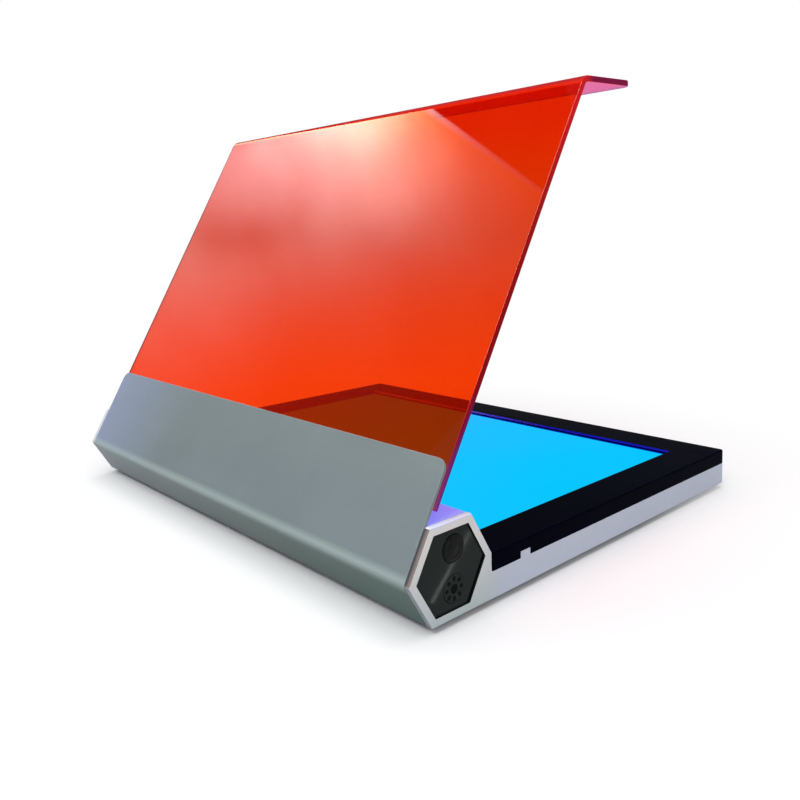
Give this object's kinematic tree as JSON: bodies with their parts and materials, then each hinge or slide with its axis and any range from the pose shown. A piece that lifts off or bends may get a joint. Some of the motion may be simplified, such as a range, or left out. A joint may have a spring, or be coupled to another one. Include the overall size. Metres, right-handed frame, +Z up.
{
  "type": "led transilluminator",
  "caption": "Slim benchtop blue light transilluminator: lit window in a black frame, amber filter cover that folds down on a hexagonal barrel hinge with controls in its end.",
  "frame": {"origin": "middle of the unit's box on the surface that its feet stand on", "axes": "+Z up, +X along the hinge to the user's right, the user sits at -Y; the cover is stored open"},
  "size_m": [0.322, 0.2594, 0.2317],
  "materials": {
    "white_paint": "satin",
    "black_gloss": "gloss",
    "dark_panel": "gloss",
    "lit_window": "polished",
    "opal_acrylic": "satin",
    "white_plastic": "matte",
    "circuit_board": "satin",
    "led_lens": "gloss",
    "black_plastic": "matte",
    "blasted_aluminium": "bead blasted",
    "silver_aluminium": "satin anodised",
    "amber_acrylic": "polished",
    "rubber_black": "matte",
    "steel": "plated",
    "brass_pin": "plated",
    "bond_tape": "matte",
    "cable_jacket": "matte"
  },
  "bodies": {
    "base": {"base_tray": "white_paint", "blue_leds": "led_lens", "bottom_screws": "steel", "button_guide": "black_plastic", "control_board": "circuit_board", "control_connector": "black_plastic", "control_panel": "dark_panel", "control_pod": "black_plastic", "core_tube": "steel", "dc_jack": "black_plastic", "diffuser_sheet": "opal_acrylic", "driver_board": "circuit_board", "driver_parts": "black_plastic", "driver_standoffs": "black_plastic", "foot_front_left": "rubber_black", "foot_front_right": "rubber_black", "foot_rear_left": "rubber_black", "foot_rear_right": "rubber_black", "frame": "black_gloss", "inlet_panel": "dark_panel", "inlet_pod": "black_plastic", "jack_guide": "black_plastic", "jack_nut": "steel", "jack_pin": "brass_pin", "led_board": "circuit_board", "reflector": "white_plastic", "side_plate_left": "white_paint", "side_plate_right": "white_paint", "side_screws": "steel", "supply_cable": "cable_jacket", "switches": "black_plastic", "thermal_pad": "rubber_black", "window_glass": "lit_window", "window_seal": "rubber_black"},
    "cover": {"cover_sheet": "blasted_aluminium", "amber_filter": "amber_acrylic", "filter_tape": "bond_tape", "barrel_tapes": "bond_tape", "hinge_barrel": "silver_aluminium", "bush_left": "white_plastic", "bush_right": "white_plastic", "disc_spring_left": "steel", "disc_spring_right": "steel"},
    "power_push": {"power_button": "dark_panel", "power_plunger": "black_plastic"},
    "brightness_push": {"brightness_button": "dark_panel", "brightness_plunger": "black_plastic"}
  },
  "joints": [
    {"name": "cover_hinge", "type": "hinge", "parent": "base", "child": "cover", "pos_m": [0, 0.10575, 0.02379], "axis": [1, 0, 0], "range_deg": [0, 60]},
    {"name": "power_press", "type": "slide", "parent": "base", "child": "power_push", "axis": [1, 0, 0], "range_m": [0, 0.0006], "stiffness_N_per_m": 2000, "springref_m": -0.0003},
    {"name": "brightness_press", "type": "slide", "parent": "base", "child": "brightness_push", "axis": [1, 0, 0], "range_m": [0, 0.0006], "stiffness_N_per_m": 2000, "springref_m": -0.0003}
  ]
}
